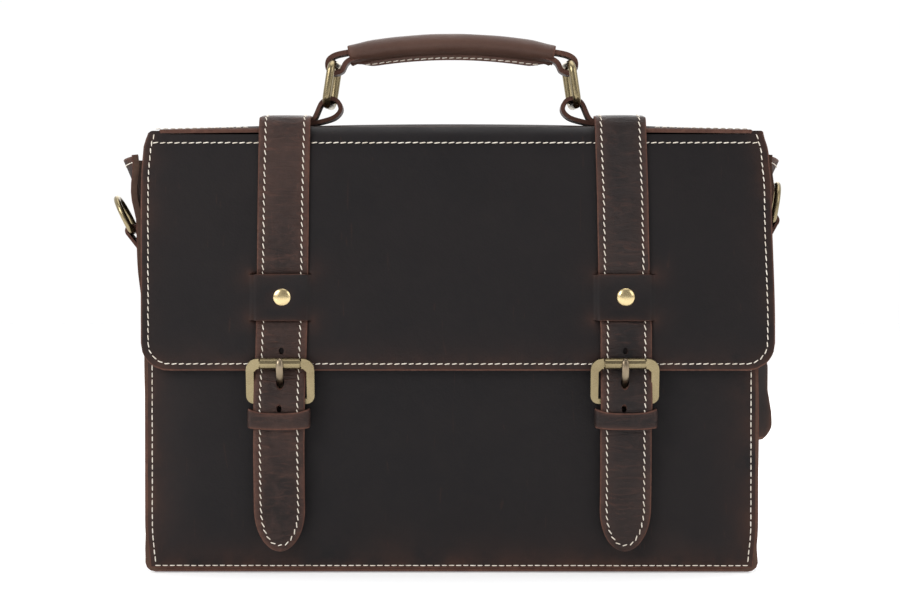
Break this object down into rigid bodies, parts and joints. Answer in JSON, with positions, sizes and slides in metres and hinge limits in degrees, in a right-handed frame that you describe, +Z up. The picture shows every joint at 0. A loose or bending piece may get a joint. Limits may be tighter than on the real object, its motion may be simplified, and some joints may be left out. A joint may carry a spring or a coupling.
{
  "type": "satchel bag",
  "caption": "Leather satchel with a gusseted body, a full-width fold-over flap, buckled straps through slits in the flap, side D-rings and an arched top handle on brass rings.",
  "frame": {"origin": "middle of the base, on the surface the bag stands on", "axes": "+Z up, +X to the right in a front view (along the bag's width), -Y out of the front (the flap's side)"},
  "size_m": [0.421, 0.111, 0.3355],
  "materials": {
    "dark_leather": "waxed pull-up leather, near-black brown, satin",
    "strap_leather": "waxed pull-up leather, dark red-brown, satin",
    "handle_leather": "waxed pull-up leather, mid brown, satin",
    "lining_cloth": "plain-woven cotton",
    "board": "stiff fibre board",
    "brass": "antique brushed brass",
    "bright_brass": "polished brass"
  },
  "bodies": {
    "body": {"front_panel": "dark_leather", "back_panel": "dark_leather", "gusset": "dark_leather", "lining": "lining_cloth", "base_board": "board", "divider": "lining_cloth", "d_ring_tab_left": "strap_leather", "d_ring_tab_right": "strap_leather", "strap_back_left": "strap_leather", "strap_back_right": "strap_leather", "snap_socket_left": "brass", "snap_socket_right": "brass"},
    "top": {"top_panel": "dark_leather", "top_stiffener": "board", "handle_anchor_left": "strap_leather", "handle_anchor_right": "strap_leather", "strap_top_left": "strap_leather", "strap_top_right": "strap_leather"},
    "flap": {"flap": "dark_leather", "strap_flap_left": "strap_leather", "strap_flap_right": "strap_leather", "rivet_cap_left": "bright_brass", "rivet_cap_right": "bright_brass", "rivet_base_left": "brass", "rivet_base_right": "brass"},
    "ring_left": {"handle_ring_left": "brass"},
    "ring_right": {"handle_ring_right": "brass"},
    "handle": {"handle_cover": "handle_leather", "handle_core": "board", "handle_loop_left": "strap_leather", "handle_loop_right": "strap_leather"},
    "tongue_left": {"strap_tongue_left": "strap_leather", "chape_left": "strap_leather", "keeper_left": "strap_leather", "snap_stud_left": "brass"},
    "buckle_left": {"buckle_frame_left": "brass"},
    "roller_body_left": {"roller_left": "brass"},
    "prong_body_left": {"prong_left": "brass"},
    "d_ring_body_left": {"d_ring_left": "brass"},
    "tongue_right": {"strap_tongue_right": "strap_leather", "chape_right": "strap_leather", "keeper_right": "strap_leather", "snap_stud_right": "brass"},
    "buckle_right": {"buckle_frame_right": "brass"},
    "roller_body_right": {"roller_right": "brass"},
    "prong_body_right": {"prong_right": "brass"},
    "d_ring_body_right": {"d_ring_right": "brass"}
  },
  "joints": [
    {"name": "top_lift", "type": "hinge", "parent": "body", "child": "top", "pos_m": [0, 0.045, 0.272], "axis": [-1, 0, 0], "range_deg": [0, 110]},
    {"name": "flap_fold", "type": "hinge", "parent": "top", "child": "flap", "pos_m": [0, -0.0512, 0.272], "axis": [-1, 0, 0], "range_deg": [0, 170]},
    {"name": "handle_swing", "type": "hinge", "parent": "top", "child": "ring_left", "pos_m": [-0.0775, 0, 0.2903], "axis": [0, 1, 0], "range_deg": [-15, 15]},
    {"name": "handle_level", "type": "hinge", "parent": "ring_left", "child": "handle", "pos_m": [-0.07361, 0, 0.31601], "axis": [0, 1, 0], "range_deg": [-17, 17]},
    {"name": "right_ring_swing", "type": "hinge", "parent": "top", "child": "ring_right", "pos_m": [0.0775, 0, 0.2903], "axis": [0, 1, 0], "range_deg": [-16, 16]},
    {"name": "tongue_lift_left", "type": "hinge", "parent": "flap", "child": "tongue_left", "pos_m": [-0.1045, -0.0535, 0.1512], "axis": [-1, 0, 0], "range_deg": [0, 100]},
    {"name": "buckle_pivot_left", "type": "hinge", "parent": "tongue_left", "child": "buckle_left", "pos_m": [-0.1045, -0.0525, 0.1062], "axis": [1, 0, 0], "range_deg": [0, 5]},
    {"name": "roller_spin_left", "type": "hinge", "parent": "buckle_left", "child": "roller_body_left", "pos_m": [-0.1045, -0.0573, 0.1291], "axis": [1, 0, 0], "continuous": true},
    {"name": "prong_lift_left", "type": "hinge", "parent": "buckle_left", "child": "prong_body_left", "pos_m": [-0.1045, -0.0525, 0.1062], "axis": [1, 0, 0], "range_deg": [0, 4]},
    {"name": "d_ring_swing_left", "type": "hinge", "parent": "body", "child": "d_ring_body_left", "pos_m": [-0.201, 0, 0.211], "axis": [0, 1, 0], "range_deg": [-125, 8]},
    {"name": "tongue_lift_right", "type": "hinge", "parent": "flap", "child": "tongue_right", "pos_m": [0.1058, -0.0535, 0.1512], "axis": [-1, 0, 0], "range_deg": [0, 100]},
    {"name": "buckle_pivot_right", "type": "hinge", "parent": "tongue_right", "child": "buckle_right", "pos_m": [0.1058, -0.0525, 0.1062], "axis": [1, 0, 0], "range_deg": [0, 5]},
    {"name": "roller_spin_right", "type": "hinge", "parent": "buckle_right", "child": "roller_body_right", "pos_m": [0.1058, -0.0573, 0.1291], "axis": [1, 0, 0], "continuous": true},
    {"name": "prong_lift_right", "type": "hinge", "parent": "buckle_right", "child": "prong_body_right", "pos_m": [0.1058, -0.0525, 0.1062], "axis": [1, 0, 0], "range_deg": [0, 4]},
    {"name": "d_ring_swing_right", "type": "hinge", "parent": "body", "child": "d_ring_body_right", "pos_m": [0.2016, 0, 0.2175], "axis": [0, 1, 0], "range_deg": [-3, 130]}
  ],
  "couplings": [
    {"joint": "handle_level", "follows": "handle_swing", "ratio": -1.053},
    {"joint": "right_ring_swing", "follows": "handle_swing", "ratio": 1}
  ]
}
